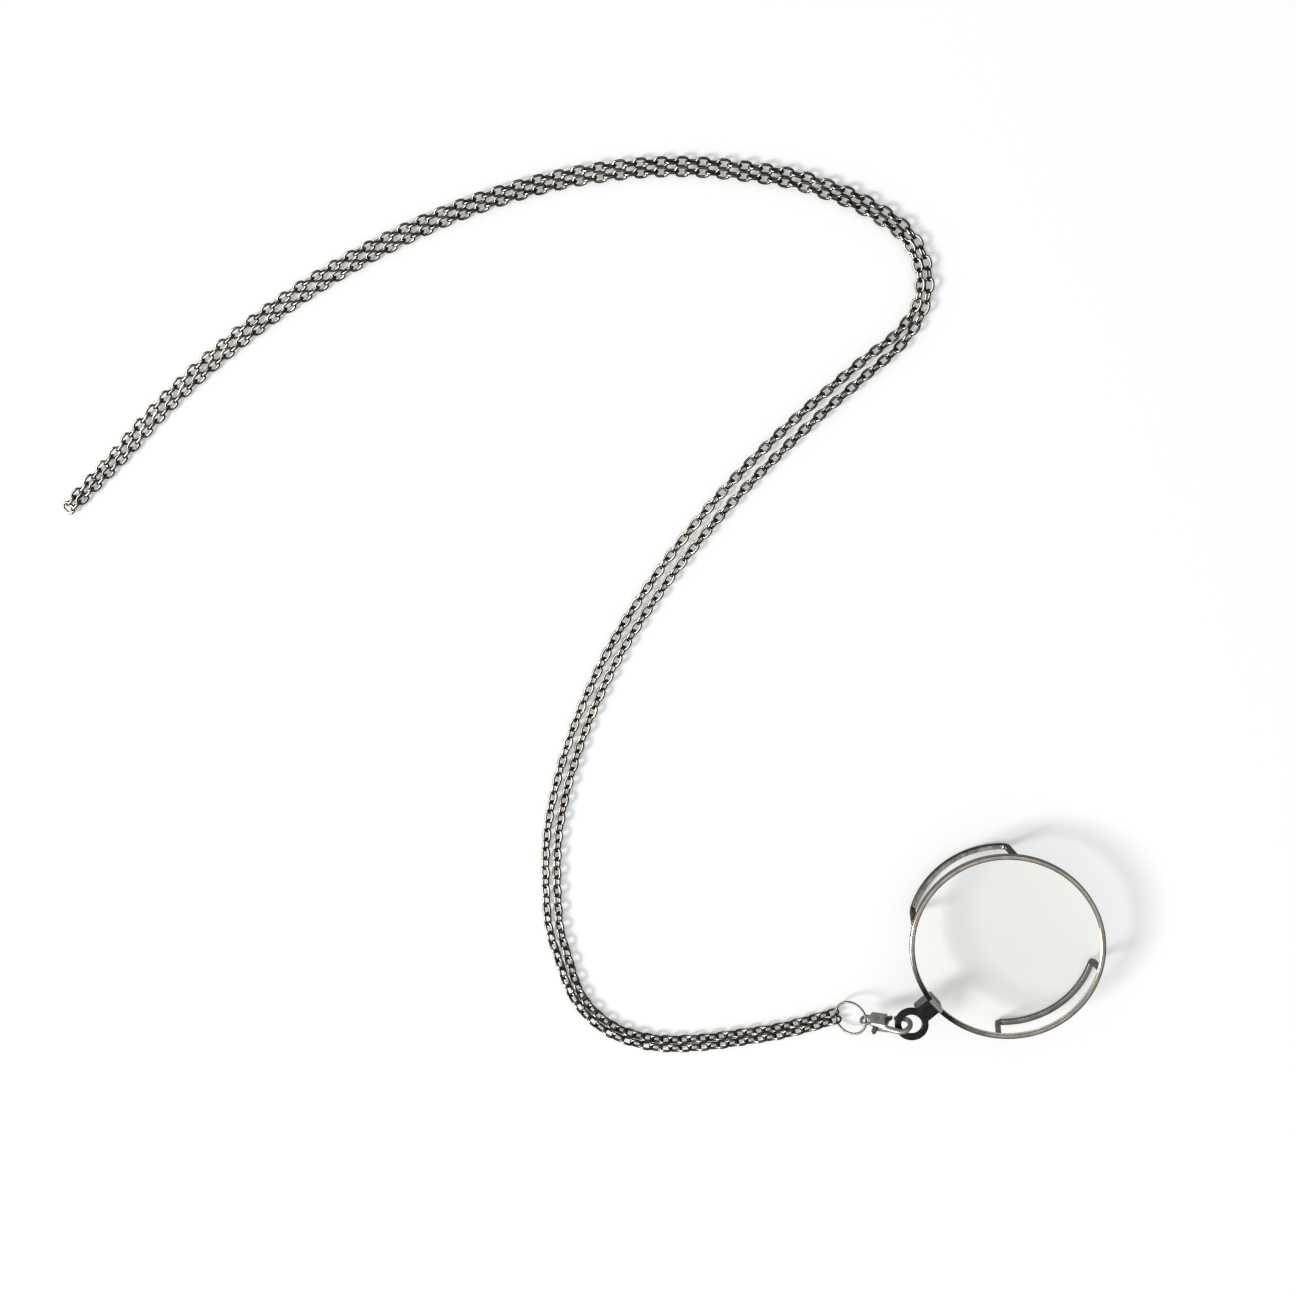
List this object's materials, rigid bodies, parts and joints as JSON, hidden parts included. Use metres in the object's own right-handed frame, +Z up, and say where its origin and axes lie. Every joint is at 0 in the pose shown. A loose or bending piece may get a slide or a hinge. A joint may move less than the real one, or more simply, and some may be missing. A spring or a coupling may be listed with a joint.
{
  "type": "monocle",
  "caption": "Round gallery monocle with a hanger eye, a lobster clasp, a jump ring and a doubled chain of oval links.",
  "frame": {"origin": "under the middle of the rim and hanger together, on the plane that the two galleries rest on", "axes": "+Z up through the lens, from the side that rests on the face to the front; +X from the hanger to the middle of the lens; +Y to the side of the upper gallery"},
  "size_m": [0.1704, 0.226, 0.0104],
  "materials": {
    "rim": "satin",
    "lens": "polished",
    "gallery": "satin",
    "hanger": "satin, dark gunmetal",
    "clasp": "satin, with polished edges",
    "jump_ring": "polished",
    "chain": "polished, dark gunmetal"
  },
  "bodies": {
    "monocle": {"rim": "rim", "lens": "lens", "upper_gallery": "gallery", "lower_gallery": "gallery", "hanger": "hanger", "closing_block": "hanger"},
    "clasp": {"clasp_body": "clasp", "clasp_rivet": "clasp", "clasp_spring": "clasp"},
    "lever": {"clasp_lever": "clasp"},
    "ring": {"jump_ring": "jump_ring"},
    "chain": {"left_strand_1": "chain", "left_strand_2": "chain", "left_strand_3": "chain", "left_strand_4": "chain", "left_strand_5": "chain", "left_strand_6": "chain", "left_strand_7": "chain", "right_strand_1": "chain", "right_strand_2": "chain", "right_strand_3": "chain", "right_strand_4": "chain", "right_strand_5": "chain", "right_strand_6": "chain", "right_strand_7": "chain", "first_bend": "chain", "second_bend": "chain", "chain_fold": "chain"}
  },
  "joints": [
    {"name": "clasp_swing", "type": "hinge", "parent": "monocle", "child": "clasp", "pos_m": [-0.02127, 0, 0.00775], "axis": [0, 0, 1], "range_deg": [-45, 45]},
    {"name": "clasp_gate", "type": "hinge", "parent": "clasp", "child": "lever", "pos_m": [-0.0266, 0.00394, 0.0057], "axis": [-0.3874, -0.8498, -0.3574], "range_deg": [0, 24], "stiffness_Nm_per_rad": 0.0005, "springref_deg": -9.74},
    {"name": "ring_swing", "type": "hinge", "parent": "clasp", "child": "ring", "pos_m": [-0.02879, 0.00556, 0.00422], "axis": [0, 0, 1], "range_deg": [-20, 20]},
    {"name": "chain_swing", "type": "hinge", "parent": "ring", "child": "chain", "pos_m": [-0.03395, 0.00938, 0.00095], "axis": [0, 0, 1], "range_deg": [-12, 1.5]}
  ]
}
